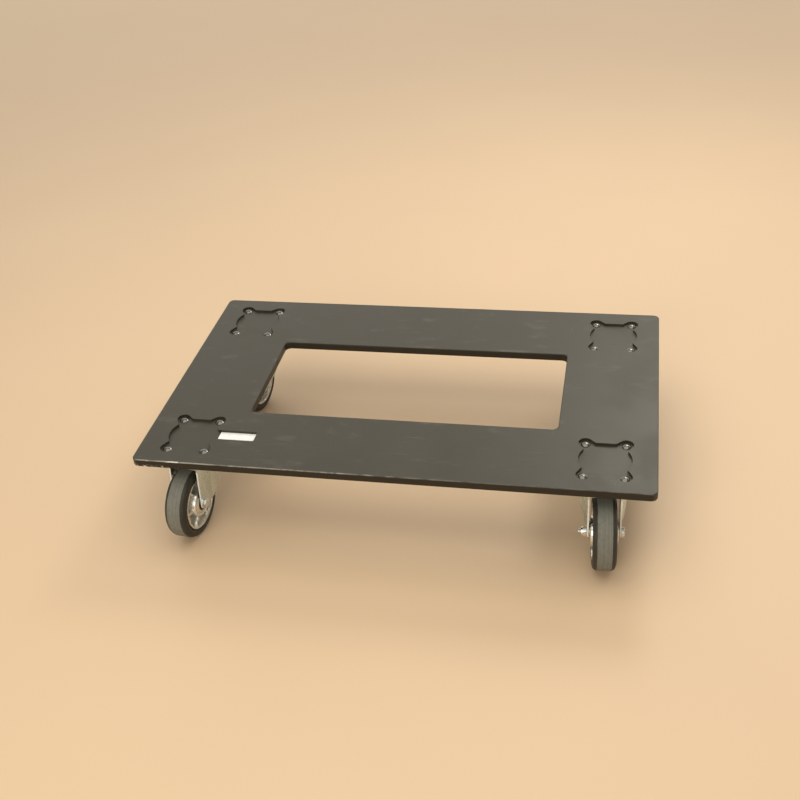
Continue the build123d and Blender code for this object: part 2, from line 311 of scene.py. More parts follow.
# ---- finishes -----------------------------------------------------------------------------
@dataclass(frozen=True)
class Finish:
    """One material: its name, the record's slot or none, and a method that wires it."""

    name: str
    slot: str = ""

    def wire(self, w: Wiring, shader: Node) -> None:
        """Join the pattern of this finish to its shader."""
        raise NotImplementedError

    def material(self) -> bpy.types.Material:
        """Make the material, or find it if it was made before.

        Returns:
            The material.
        """
        if self.name in MATERIALS:
            return MATERIALS[self.name]
        made = bpy.data.materials.new(f"{self.name}_finish")
        MATERIALS[self.name] = made
        made.use_nodes = True
        made.node_tree.nodes.clear()
        w = Wiring(made.node_tree)
        shader = w.node("BsdfPrincipled")
        w.node("OutputMaterial", {"Surface": shader.outputs["BSDF"]})
        self.wire(w, shader)
        return made


def bump(w: Wiring, shader: Node, height: object, distance: float, strength: float = 1.0) -> None:
    """Feed a height, in units of distance, to the shader's normal."""
    made = w.node("Bump", {"Height": height, "Distance": distance, "Strength": strength})
    w.put(shader.inputs["Normal"], made.outputs["Normal"])


@dataclass(frozen=True)
class Cloud:
    """Patches: fractal noise of a stretched position, stepped between two of its levels."""

    scale: float
    low: float
    high: float
    detail: float = 5.0
    roughness: float = 0.6
    stretch: Triple = (1.0, 1.0, 1.0)
    weak: float = 0.0
    strong: float = 1.0

    def mask(self, w: Wiring, place: Socket) -> Socket:
        """Place the patches in a material.

        Args:
            w: wiring of the material.
            place: object coordinates.

        Returns:
            The mask: weak where the noise is at its low level, strong at its high one.
        """
        stretched = w.vector("MULTIPLY", place, self.stretch)
        level = w.noise(stretched, self.scale, self.detail, self.roughness)
        return w.band(level, self.low, self.high, self.weak, self.strong)


@dataclass(frozen=True)
class Scratches:
    """Fine scratches: the stretch of their noise, how many they are and how big their patches are."""

    stretch: Triple
    amount: float
    patch: float

    def mask(self, w: Wiring, place: Socket) -> Socket:
        """Place the scratches in a material.

        Args:
            w: wiring of the material.
            place: object coordinates.

        Returns:
            The mask's socket.
        """
        return use(w, Effect.SCUFFS, Vector=place, Stretch=self.stretch, Amount=self.amount,
                   Patch_Size=self.patch)["Mask"]


@dataclass(frozen=True)
class BoardPaint(Finish):
    """Black satin paint rolled on plywood, scuffed on its face and worn along its edges.

    A pair of lengths says where a mark starts and where it is full, measured from the edge that the mark
    belongs to. Over the pair of fading, the marks fall from the first strength to the second.
    """

    centre: Triple = (0.0, 0.0, 0.0)
    half: Triple = (0.55, 0.341, 1.0)
    cutout_half: Triple = (0.342, 0.1465, 1.0)
    levels: tuple[float, float] = (0.197, 0.215)
    paint: Colour = (0.031, 0.0265, 0.0175, 1.0)
    tired: Colour = (0.042, 0.037, 0.026, 1.0)
    # Painted shade laid on the board's upright sides and on the cut-out's walls.
    shaded: Colour = (0.014, 0.011, 0.007, 1.0)
    scuff: Colour = (0.21, 0.195, 0.16, 1.0)
    # Pale tone of the top-edge line: partly rubbed paint, partly a painted highlight of the rounded edge.
    rubbed_and_highlight: Colour = (0.34, 0.32, 0.27, 1.0)
    bare: Colour = (0.75, 0.71, 0.63, 1.0)
    gloss: Colour = (1.0, 0.97, 0.83, 1.0)
    gloss_level: float = 0.38
    mottle: Cloud = Cloud(7.0, 0.35, 0.7, detail=6.0)
    smudges: Cloud = Cloud(13.0, 0.56, 0.78, roughness=0.55, stretch=(1.0, 1.8, 1.0), strong=0.2)
    rubbing: Cloud = Cloud(8.0, 0.52, 0.66, 4.0, stretch=(1.0, 2.5, 1.0), strong=0.4)
    streaks: Cloud = Cloud(1.0, 0.35, 0.6, 4.0, 0.7, (26.0, 60.0, 60.0), 0.2, 0.9)
    foot_specks: Cloud = Cloud(1.0, 0.55, 0.59, 3.0, stretch=(210.0, 60.0, 260.0))
    long_scratches: Scratches = Scratches((9.0, 260.0, 90.0), 0.6, 0.16)
    cross_scratches: Scratches = Scratches((240.0, 12.0, 90.0), 0.45, 0.1)
    scratch_strength: float = 0.2
    fleck_scale: float = 5.0
    fleck_radii: tuple[float, float] = (9.0 * MM, 6.0 * MM)
    rub_reach: tuple[float, float] = (14.0 * MM, 1.0 * MM)
    wear_width: float = 6.2 * MM
    wear_amount: float = 0.55
    wear_grit: float = 6.0 * MM
    side_depth: tuple[float, float] = (1.4 * MM, 0.4 * MM)
    wall_depth: tuple[float, float] = (1.6 * MM, 0.6 * MM)
    round_depth: tuple[float, float] = (2.6 * MM, 1.4 * MM)
    top_reach: tuple[float, float] = (2.2 * MM, 1.2 * MM)
    front_reach: tuple[float, float] = (41.0 * MM, 11.0 * MM)
    fading: tuple[float, float] = (100.0 * MM, 800.0 * MM)
    strengths: tuple[float, float] = (0.9, 0.2)
    corner_reach: tuple[float, float] = (95.0 * MM, 50.0 * MM)
    foot_reach: tuple[float, float] = (7.5 * MM, 3.0 * MM)
    elsewhere: float = 0.12
    chip_rarity: float = 3.0
    satin: tuple[float, float] = (0.4, 0.5)
    marked: float = 0.5
    chip_height: float = 2.0
    peel_size: float = 2.4 * MM
    peel_depth: float = 0.14 * MM
    peel_strength: float = 0.8

    def wire(self, w: Wiring, shader: Node) -> None:
        """Join paint, mottling, marks, painted shade on the upright edges, wear with a painted highlight, chips
        and orange peel.

        Args:
            w: wiring of the material.
            shader: its Principled node.
        """
        shader.inputs["Specular IOR Level"].default_value = self.gloss_level
        shader.inputs["Specular Tint"].default_value = self.gloss
        place = w.place()
        mottle = self.mottle.mask(w, place)
        colour = w.mix(mottle, self.paint, self.tired)
        gap = self.cutout_gap(w, place)
        marks = self.face_marks(w, place, gap)
        colour = w.mix(marks, colour, self.scuff)
        wear = use(w, Effect.EDGE_WEAR, Vector=place, Centre=self.centre, Half_Size=self.half,
                   Width=self.wear_width, Amount=self.wear_amount, Grit=self.wear_grit)
        # Painted shade: the upright sides and the cut-out's walls are darkened towards the shaded colour, as if
        # less light reached them.
        upright = w.most(w.band(wear["Depth"], *self.side_depth), w.band(gap, *self.wall_depth))
        colour = w.mix(upright, colour, self.shaded)
        polish_and_highlight, chipped = self.edge_marks(w, place, wear)
        colour = w.mix(polish_and_highlight, colour, self.rubbed_and_highlight)
        w.put(shader.inputs["Base Color"], w.mix(chipped, colour, self.bare))
        rough = w.plus(w.band(mottle, 0.0, 1.0, *self.satin), w.times(marks, self.marked))
        w.put(shader.inputs["Roughness"], rough)
        peel = use(w, Effect.GRAIN, Vector=place, Size=self.peel_size)["Height"]
        height = w.minus(peel, w.times(chipped, self.chip_height))
        bump(w, shader, height, self.peel_depth, self.peel_strength)

    def cutout_gap(self, w: Wiring, place: Socket) -> Socket:
        """Distance outside the cut-out: the greater of |x| and |y| less its half sizes."""
        past = w.split(w.vector("SUBTRACT", w.vector("ABSOLUTE", place), self.cutout_half))
        return w.most(past["X"], past["Y"])

    def face_marks(self, w: Wiring, place: Socket, gap: Socket) -> Socket:
        """Marks on the face: the greatest of scratches, smudges, rubbing by the cut-out and flecks.

        Args:
            w: wiring of the material.
            place: object coordinates.
            gap: distance outside the cut-out.

        Returns:
            The mask's socket.
        """
        lines = w.most(self.long_scratches.mask(w, place), self.cross_scratches.mask(w, place))
        rub = w.times(w.band(gap, *self.rub_reach), self.rubbing.mask(w, place))
        cells = w.node("TexVoronoi", {"Vector": place, "Scale": self.fleck_scale}, distance="EUCLIDEAN")
        fleck = w.band(cells.outputs["Distance"], *self.fleck_radii)
        soft = w.most(w.times(lines, self.scratch_strength), self.smudges.mask(w, place))
        return w.most(soft, w.most(rub, fleck))

    def edge_marks(self, w: Wiring, place: Socket, wear: bpy.types.NodeOutputs) -> tuple[Socket, Socket]:
        """Marks on the edges, strongest at the front left: a pale line, part polish and part painted highlight,
        and chips.

        Args:
            w: wiring of the material.
            place: object coordinates.
            wear: outputs of the edge wear.

        Returns:
            The mask of the pale line, which is part polish and part painted highlight, and the chipped mask.
        """
        low, high = self.levels
        left_end, front_edge = -self.half[0], -self.half[1]
        parts = w.split(place)
        front = w.band(parts["Y"], *(front_edge + reach for reach in self.front_reach))
        side = w.band(front, 0.0, 1.0, self.elsewhere, 1.0)
        at_top = w.band(parts["Z"], *(high - reach for reach in self.top_reach))
        on_round = w.times(w.band(wear["Depth"], *self.round_depth), at_top)
        left = w.band(parts["X"], *(left_end + reach for reach in self.fading), *self.strengths)
        # Pale line along the top rounding: part polish, part a painted highlight where the rounded edge catches
        # light.
        polish_and_highlight = w.times(w.times(on_round, self.streaks.mask(w, place)), w.times(side, left))
        here = w.times(side, w.math("POWER", left, self.chip_rarity))
        top_chips = w.times(w.times(wear["Mask"], here), at_top)
        at_foot = w.band(parts["Z"], *(low + reach for reach in self.foot_reach))
        at_corner = w.band(parts["X"], *(left_end + reach for reach in self.corner_reach))
        at_foot_corner = w.times(at_foot, w.times(at_corner, front))
        foot_chips = w.times(at_foot_corner, self.foot_specks.mask(w, place))
        return polish_and_highlight, w.most(top_chips, foot_chips)


@dataclass(frozen=True)
class Metal(Finish):
    """Plated or cast metal with fine grain, handling marks and dust."""

    colour: Colour = (0.66, 0.74, 0.72, 1.0)
    dull: Colour = (0.53, 0.6, 0.57, 1.0)
    film: Colour = (0.3, 0.27, 0.22, 1.0)
    roughness: float = 0.2
    spread: float = 0.12
    grain: float = 1.2 * MM
    depth: float = 0.006 * MM
    dust: float = 0.07
    dust_patch: float = 20.0 * MM
    mottle: float = 0.25
    patches: Cloud = Cloud(55.0, 0.38, 0.68, roughness=0.62)
    handling: Scratches = Scratches((300.0, 300.0, 30.0), 0.6, 30.0 * MM)
    handling_tone: float = 0.4
    handling_roughness: float = 0.1

    def wire(self, w: Wiring, shader: Node) -> None:
        """Join two tones of metal in cloudy patches, short scuffs, dust and a fine bump.

        Args:
            w: wiring of the material.
            shader: its Principled node.
        """
        place = w.place()
        shader.inputs["Metallic"].default_value = 1.0
        cloud = self.patches.mask(w, place)
        colour = w.mix(w.times(cloud, self.mottle), self.colour, self.dull)
        scuffs = self.handling.mask(w, place)
        colour = w.mix(w.times(scuffs, self.handling_tone), colour, self.dull)
        dust = use(w, Effect.DUST, Vector=place, Patch_Size=self.dust_patch, Amount=self.dust)["Mask"]
        w.put(shader.inputs["Base Color"], w.mix(dust, colour, self.film))
        rough = w.plus(w.times(cloud, self.spread), self.roughness)
        w.put(shader.inputs["Roughness"], w.plus(rough, w.times(scuffs, self.handling_roughness)))
        height = use(w, Effect.GRAIN, Vector=place, Size=self.grain)["Height"]
        bump(w, shader, height, self.depth)


@dataclass(frozen=True)
class SheetMetal(Metal):
    """Plated sheet whose sheared edges are paler and rougher than its faces."""

    roughness: float = 0.27
    spread: float = 0.06
    mottle: float = 0.15
    dust: float = 0.04
    axis: Triple = (1.0, 0.0, 0.0)
    below: float = 168.0 * MM
    fade: float = 4.0 * MM
    square: tuple[float, float] = (0.75, 0.45)
    sheared: Colour = (0.86, 0.85, 0.76, 1.0)
    sheared_roughness: float = 0.3
    sheared_metallic: float = 0.25

    def wire(self, w: Wiring, shader: Node) -> None:
        """Join the metal, then the edges: paler, rougher and only partly metallic.

        Args:
            w: wiring of the material.
            shader: its Principled node.
        """
        super().wire(w, shader)
        edge = self.sheared_edges(w)
        tone = shader.inputs["Base Color"].links[0].from_socket
        w.put(shader.inputs["Base Color"], w.mix(edge, tone, self.sheared))
        rough = shader.inputs["Roughness"].links[0].from_socket
        w.put(shader.inputs["Roughness"], w.plus(rough, w.times(edge, self.sheared_roughness)))
        w.put(shader.inputs["Metallic"], w.band(edge, 0.0, 1.0, 1.0, self.sheared_metallic))

    def sheared_edges(self, w: Wiring) -> Socket:
        """Find the legs' cut edges, whose normals stand square to the axle, below the crown.

        Args:
            w: wiring of the material.

        Returns:
            The mask's socket.
        """
        coordinates = w.node("TexCoord").outputs
        facing = w.math("ABSOLUTE", w.dot(coordinates["Normal"], self.axis))
        height = w.split(coordinates["Object"])["Z"]
        return w.times(w.band(facing, *self.square), w.band(height, self.below, self.below - self.fade))


@dataclass(frozen=True)
class Rubber(Finish):
    """Black rubber: dusty grey where it rolls, dark on its sides, with fine moulded grain.

    Border is the pair of lengths past the tread's edge over which the dark side turns to tread, and
    ring width the pair of distances from the moulded ring over which its tone comes in.
    """

    centre: Triple = (0.0, 0.0, 0.0)
    axis: Triple = (1.0, 0.0, 0.0)
    tread_half: float = 14.8 * MM
    radius: float = 80.0 * MM
    side: Colour = (0.027, 0.025, 0.018, 1.0)
    worn: Colour = (0.14, 0.136, 0.108, 1.0)
    pale: Colour = (0.195, 0.19, 0.155, 1.0)
    stained: Colour = (0.08, 0.074, 0.058, 1.0)
    # Lighter tone painted on the moulded ring: a painted highlight of the ridge.
    ring: Colour = (0.07, 0.064, 0.05, 1.0)
    film: Colour = (0.22, 0.2, 0.165, 1.0)
    ring_inset: float = 13.5 * MM
    ring_width: tuple[float, float] = (1.6 * MM, 0.2 * MM)
    border: tuple[float, float] = (1.2 * MM, -0.8 * MM)
    ragged: float = 3.0 * MM
    blotch_scale: float = 60.0
    blotch_height: float = 0.8
    stain_levels: tuple[float, float] = (0.5, 0.75)
    stain_strength: float = 0.3
    ring_highlight_strength: float = 0.8
    row_scale: float = 95.0
    row_levels: tuple[float, float] = (0.38, 0.62)
    row_share: float = 0.65
    streak_size: float = 9.0 * MM
    dust: float = 0.4
    dust_patch: float = 30.0 * MM
    dust_strength: float = 0.3
    roughness: tuple[float, float] = (0.5, 0.78)
    grain: float = 1.6 * MM
    grain_depth: float = 0.14 * MM
    gloss_level: float = 0.32

    def wire(self, w: Wiring, shader: Node) -> None:
        """Join a worn tread inside the flat band, dark sides, a painted highlight on the moulded ring and dust.

        Args:
            w: wiring of the material.
            shader: its Principled node.
        """
        shader.inputs["Specular IOR Level"].default_value = self.gloss_level
        place = w.place()
        off = w.vector("SUBTRACT", place, self.centre)
        along = w.dot(off, self.axis)
        lateral = w.math("ABSOLUTE", along)
        radius = w.math("SQRT", w.minus(w.dot(off, off), w.times(lateral, lateral)))
        blotch = w.noise(place, self.blotch_scale, 5.0, 0.65)
        edge = w.plus(lateral, w.times(w.minus(blotch, 0.5), self.ragged))
        rolled = w.band(edge, *(self.tread_half + past for past in self.border))
        stains = w.times(w.band(blotch, *self.stain_levels), self.stain_strength)
        colour = w.mix(rolled, self.side, w.mix(stains, self.tread(w, place, along), self.stained))
        off_ring = w.math("ABSOLUTE", w.minus(radius, self.radius - self.ring_inset))
        # Painted highlight: the moulded ring on the sidewall is lightened as if it caught the light.
        ring_highlight = w.times(w.band(off_ring, *self.ring_width), self.ring_highlight_strength)
        colour = w.mix(ring_highlight, colour, self.ring)
        dust = use(w, Effect.DUST, Vector=place, Patch_Size=self.dust_patch, Amount=self.dust)["Mask"]
        w.put(shader.inputs["Base Color"], w.mix(w.times(dust, self.dust_strength), colour, self.film))
        w.put(shader.inputs["Roughness"], w.band(rolled, 0.0, 1.0, *self.roughness))
        grain = use(w, Effect.GRAIN, Vector=place, Size=self.grain)["Height"]
        bump(w, shader, w.plus(grain, w.times(blotch, self.blotch_height)), self.grain_depth)

    def tread(self, w: Wiring, place: Socket, along: Socket) -> Socket:
        """Colour of the tread: two greys in bands that run round the wheel, broken by grain.

        Args:
            w: wiring of the material.
            place: object coordinates.
            along: distance along the axle from the wheel's middle.

        Returns:
            The colour's socket.
        """
        streak = use(w, Effect.GRAIN, Vector=place, Size=self.streak_size)["Height"]
        stretched = w.times(along, self.row_scale)
        rows = w.node("TexNoise", {"W": stretched, "Detail": 3.0}, noise_dimensions="1D")
        broken = w.times(streak, 1.0 - self.row_share)
        bands = w.plus(broken, w.times(rows.outputs["Fac"], self.row_share))
        return w.mix(w.band(bands, *self.row_levels), self.worn, self.pale)


@dataclass(frozen=True)
class Plastic(Finish):
    """Moulded plastic or film with a fine texture."""

    colour: Colour = (0.02, 0.02, 0.019, 1.0)
    stain: Colour = (0.05, 0.048, 0.042, 1.0)
    roughness: float = 0.45
    spread: float = 0.12
    grain: float = 0.8 * MM
    depth: float = 0.03 * MM
    stains: Cloud = Cloud(70.0, 0.4, 0.72)
    stain_strength: float = 0.6

    def wire(self, w: Wiring, shader: Node) -> None:
        """Join the colour with soft stains and a fine even bump.

        Args:
            w: wiring of the material.
            shader: its Principled node.
        """
        place = w.place()
        cloud = self.stains.mask(w, place)
        stained = w.times(cloud, self.stain_strength)
        w.put(shader.inputs["Base Color"], w.mix(stained, self.colour, self.stain))
        rough = w.band(cloud, 0.0, 1.0, self.roughness, self.roughness + self.spread)
        w.put(shader.inputs["Roughness"], rough)
        height = use(w, Effect.GRAIN, Vector=place, Size=self.grain)["Height"]
        bump(w, shader, height, self.depth)


@dataclass(frozen=True)
class FloorPaint(Finish):
    """Pale floor with soft clouds of a slightly darker tone."""

    colour: Colour = (0.7, 0.5, 0.31, 1.0)
    darkening: float = 0.94
    cloud_scale: float = 1.6
    roughness: float = 0.55

    def wire(self, w: Wiring, shader: Node) -> None:
        """Join the two tones by a slow noise.

        Args:
            w: wiring of the material.
            shader: its Principled node.
        """
        darker = (*(c * self.darkening for c in self.colour[:3]), 1.0)
        cloud = w.noise(w.place(), self.cloud_scale)
        w.put(shader.inputs["Base Color"], w.mix(cloud, darker, self.colour))
        shader.inputs["Roughness"].default_value = self.roughness


ZINC = Metal("zinc_plate", "zinc_steel")
BRIGHT_STEEL = Metal("bright_fastener", "zinc_steel", colour=(0.82, 0.81, 0.78, 1.0),
                     dull=(0.6, 0.58, 0.53, 1.0), roughness=0.22, spread=0.1, depth=0.01 * MM, dust=0.08)
DULL_STEEL = Metal("bolt_head_steel", "zinc_steel", colour=(0.15, 0.145, 0.125, 1.0),
                   dull=(0.1, 0.097, 0.084, 1.0), roughness=0.1, spread=0.04, depth=0.003 * MM, dust=0.05)
BEARING_STEEL = Metal("bearing_steel", "bearing_steel", colour=(0.75, 0.75, 0.76, 1.0),
                      dull=(0.55, 0.54, 0.53, 1.0), roughness=0.18, spread=0.08, depth=0.006 * MM, dust=0.05)
ALUMINIUM = Metal("cast_aluminium", "cast_aluminium", colour=(0.83, 0.825, 0.775, 1.0),
                  dull=(0.52, 0.515, 0.465, 1.0), roughness=0.26, spread=0.12, grain=1.6 * MM,
                  depth=0.018 * MM, dust=0.12, mottle=0.45)
BLACK_PLASTIC = Plastic("black_plastic", "black_plastic")
LABEL_FILM = Plastic("label_film", "label", colour=(0.86, 0.855, 0.8, 1.0), stain=(0.7, 0.69, 0.63, 1.0),
                     roughness=0.38, grain=2.0 * MM, depth=0.02 * MM)


# ---- mesh makers --------------------------------------------------------------------------
def grid_faces(rows: int, columns: int, close_rows: bool, close_columns: bool) -> np.ndarray:
    """Quads of a rows by columns grid of points.

    Args:
        rows: points along the first parameter.
        columns: points along the second parameter.
        close_rows: join the last row to the first.
        close_columns: join the last column to the first.

    Returns:
        Array of shape (faces, 4) of point numbers.
    """
    i = np.arange(rows if close_rows else rows - 1)
    j = np.arange(columns if close_columns else columns - 1)
    i, j = np.meshgrid(i, j, indexing="ij")
    next_i = (i + 1) % rows
    next_j = (j + 1) % columns
    corners = [i * columns + j, i * columns + next_j, next_i * columns + next_j, next_i * columns + j]
    return np.stack([c.ravel() for c in corners], axis=1)


def around(radius: object, angle: object, height: object) -> np.ndarray:
    """Points (r cos a, r sin a, z) of arrays that fit each other's shapes."""
    radius, angle, height = np.broadcast_arrays(radius, angle, height)
    return np.stack([radius * np.cos(angle), radius * np.sin(angle), height], axis=-1)


def spokes(count: int) -> np.ndarray:
    """That many angles, evenly spaced round a turn."""
    return np.arange(count) * TURN / count


def add_mesh(name: str, blocks: list[Shell], finish: Finish) -> bpy.types.Object:
    """Make one object from closed shells, with faces turned outwards.

    Args:
        name: the piece's name.
        blocks: (points, quads) of each closed shell; a quad may have two equal points at a pole.
        finish: the finish it is dressed in.

    Returns:
        The new object, at the origin, smooth shaded.
    """
    all_points, all_faces, start = [], [], 0
    for points, faces in blocks:
        points = points.reshape(-1, 3)
        a, b, c, d = (points[faces[:, k]] for k in range(4))
        volume = np.einsum("ij,ij->i", a, np.cross(b, c) + np.cross(c, d)).sum()
        all_faces.append((faces if volume > 0 else faces[:, ::-1]) + start)
        all_points.append(points)
        start += len(points)
    mesh = bpy.data.meshes.new(name)
    mesh.from_pydata(np.concatenate(all_points).tolist(), [], np.concatenate(all_faces).tolist())
    edit = bmesh.new()
    edit.from_mesh(mesh)
    bmesh.ops.remove_doubles(edit, verts=edit.verts, dist=WELD)
    bmesh.ops.dissolve_degenerate(edit, edges=edit.edges, dist=WELD)
    edit.to_mesh(mesh)
    edit.free()
    made = add_object(name, mesh, finish)
    weighted = made.modifiers.new("face_weighted_normals", "WEIGHTED_NORMAL")
    weighted.keep_sharp = True
    return made


def add_object(name: str, mesh: bpy.types.Mesh, finish: Finish) -> bpy.types.Object:
    """Link an object for a mesh, smooth shaded and in its finish.

    Args:
        name: the object's name.
        mesh: its mesh.
        finish: its finish.

    Returns:
        The new object.
    """
    mesh.polygons.foreach_set("use_smooth", np.ones(len(mesh.polygons), bool))
    mesh.materials.append(finish.material())
    made = bpy.data.objects.new(name, mesh)
    bpy.context.scene.collection.objects.link(made)
    return made


def rounded(corners: list[Triple], steps: int) -> np.ndarray:
    """Closed outline whose corners are arcs, each tangent to its two runs.

    Args:
        corners: (x, y, radius) of each corner in order.
        steps: spans in each arc.

    Returns:
        Array of points, shape (count, 2).
    """
    points, count = [], len(corners)
    for k, (x, y, radius) in enumerate(corners):
        here = np.array((x, y))
        if radius <= 0.0:
            points.append(here[None])
            continue
        back = np.array(corners[k - 1][:2]) - here
        ahead = np.array(corners[(k + 1) % count][:2]) - here
        back /= np.linalg.norm(back)
        ahead /= np.linalg.norm(ahead)
        half = math.acos(float(np.clip(back @ ahead, -1.0, 1.0))) / 2
        middle = (back + ahead) / np.linalg.norm(back + ahead)
        centre = here + middle * radius / math.sin(half)
        first = here + back * radius / math.tan(half) - centre
        last = here + ahead * radius / math.tan(half) - centre
        start = math.atan2(first[1], first[0])
        sweep = (math.atan2(last[1], last[0]) - start + math.pi) % TURN - math.pi
        angles = start + sweep * np.linspace(0.0, 1.0, steps + 1)
        points.append(centre + radius * np.stack([np.cos(angles), np.sin(angles)], axis=1))
    return np.concatenate(points)


@dataclass(frozen=True)
class Axis:
    """A local frame: its origin, and its X, Y and Z as unit vectors in the object's frame."""

    origin: np.ndarray
    turn: np.ndarray

    @classmethod
    def upright(cls, x: float, y: float) -> "Axis":
        """A frame parallel to the object's frame, standing on the floor at (x, y)."""
        return cls(np.array((x, y, 0.0), float), np.eye(3))

    def place(self, points: np.ndarray) -> np.ndarray:
        """Local points, in metres, moved into the object's frame."""
        return points @ self.turn + self.origin


def lathe(outline: np.ndarray, axis: Axis, segments: int, closed: bool = True) -> Shell:
    """Turned surface: each outline point (r, z) goes to (r cos a, r sin a, z) round the axis.

    Args:
        outline: (radius, height) points in metres.
        axis: local frame whose Z is the axis of turning.
        segments: spans round the axis.
        closed: the outline is a loop; if not, it starts and ends on the axis.

    Returns:
        Points of shape (outline, segments, 3) and their quads.
    """
    points = around(outline[:, :1], spokes(segments), outline[:, 1:])
    return axis.place(points), grid_faces(len(outline), segments, closed, True)


def hex_radius(across_flats: float, angle: np.ndarray) -> np.ndarray:
    """Radius of a hexagon: half its width across flats over the cosine of the angle from the flat."""
    return across_flats / 2 / np.cos((angle + TURN / 12) % (TURN / 6) - TURN / 12)


def hex_bar(rows: list[tuple[float, float]], across_flats: float, axis: Axis, segments: int = 96,
            collar: Iterable[tuple[float, float]] = ()) -> Shell:
    """Turned hexagon: at each (limit, z) row the radius is the lesser of the limit and the hexagon.

    Args:
        rows: (radius limit, height) along a closed loop or from pole to pole.
        across_flats: width of the hexagon.
        axis: local frame whose Z is the bar's axis.
        segments: spans round the axis.
        collar: (radius, height) of further rows that stay round.

    Returns:
        Points and quads.
    """
    angle = spokes(segments)
    limit, height = (np.array(column)[:, None] for column in zip(*rows))
    points = around(np.minimum(limit, hex_radius(across_flats, angle)), angle, height)
    if collar:
        radius, height = (np.array(column)[:, None] for column in zip(*collar))
        points = np.concatenate([points, around(radius, angle, height)])
    return axis.place(points), grid_faces(len(points), segments, rows[0][0] > 0.0, True)


def threaded_rod(radius: float, low: float, high: float, pitch: float, thread_to: float, axis: Axis,
                 segments: int) -> Shell:
    """Rod along Z whose radius falls by a triangle wave of (z / pitch - turn) up to thread_to.

    Args:
        radius: outer radius.
        low: end of the thread.
        high: the rod's other end.
        pitch: thread pitch.
        thread_to: height where the thread runs out.
        axis: local frame.
        segments: spans round the rod.

    Returns:
        Points and quads.
    """
    per_turn = 6
    groove, chamfer = 0.55 * pitch, 0.5 * pitch
    turns = (thread_to - low) / pitch
    height = np.concatenate([low + np.arange(int(turns * per_turn) + 1) * pitch / per_turn, [high]])[:, None]
    angle = spokes(segments)[None]
    wave = np.abs(((height / pitch - angle / TURN) % 1.0) * 2.0 - 1.0)
    fade = np.clip((thread_to - height) / pitch, 0.0, 1.0)
    end = np.clip((height - low) / pitch, 0.0, 1.0)
    depth = groove * wave * fade + chamfer * (1.0 - end)
    tip = around(0.0, angle, low)
    root = around(0.0, angle, high)
    points = np.concatenate([tip, around(radius - depth, angle, height), root])
    return axis.place(points), grid_faces(len(points), segments, False, True)


def finish_piece(piece: bpy.types.Object, body: str, node: str) -> None:
    """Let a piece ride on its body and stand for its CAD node.

    Args:
        piece: the finished object.
        body: the body that it moves with.
        node: the CAD node that it replaces.
    """
    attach(piece, body)
    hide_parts(node)
    log.info("%s: %d faces, rides on %s", piece.name, len(piece.data.polygons), body)


def dress(node: str, finish: Finish) -> None:
    """Give a CAD node its finish.

    Args:
        node: the CAD node.
        finish: its finish.
    """
    shown = frame["nodes"][node]
    shown.data.materials.clear()
    shown.data.materials.append(finish.material())
    log.info("%s: dressed in %s", node, finish.name)


def bevelled_copy(node: str, name: str, finish: Finish, width: float) -> bpy.types.Object:
    """Copy a CAD node, merge its loose triangles and round its sharp edges a little.

    Args:
        node: the CAD node.
        name: name of the new piece.
        finish: its finish.
        width: width of the rounding in metres.

    Returns:
        The new object.
    """
    mesh = frame["nodes"][node].data.copy()
    mesh.name = name
    for attribute in [a for a in mesh.attributes if a.name == "custom_normal"]:
        mesh.attributes.remove(attribute)
    edit = bmesh.new()
    edit.from_mesh(mesh)
    bmesh.ops.remove_doubles(edit, verts=edit.verts, dist=COPY_WELD)
    bmesh.ops.dissolve_limit(edit, angle_limit=FLAT, verts=edit.verts, edges=edit.edges)
    edit.to_mesh(mesh)
    edit.free()
    mesh.materials.clear()
    made = add_object(name, mesh, finish)
    mesh.set_sharp_from_angle(angle=SHARP)
    bevel = made.modifiers.new("edge_round", "BEVEL")
    bevel.width = width
    bevel.segments = 2
    bevel.limit_method = "ANGLE"
    bevel.angle_limit = SHARP
    bevel.harden_normals = True
    return made


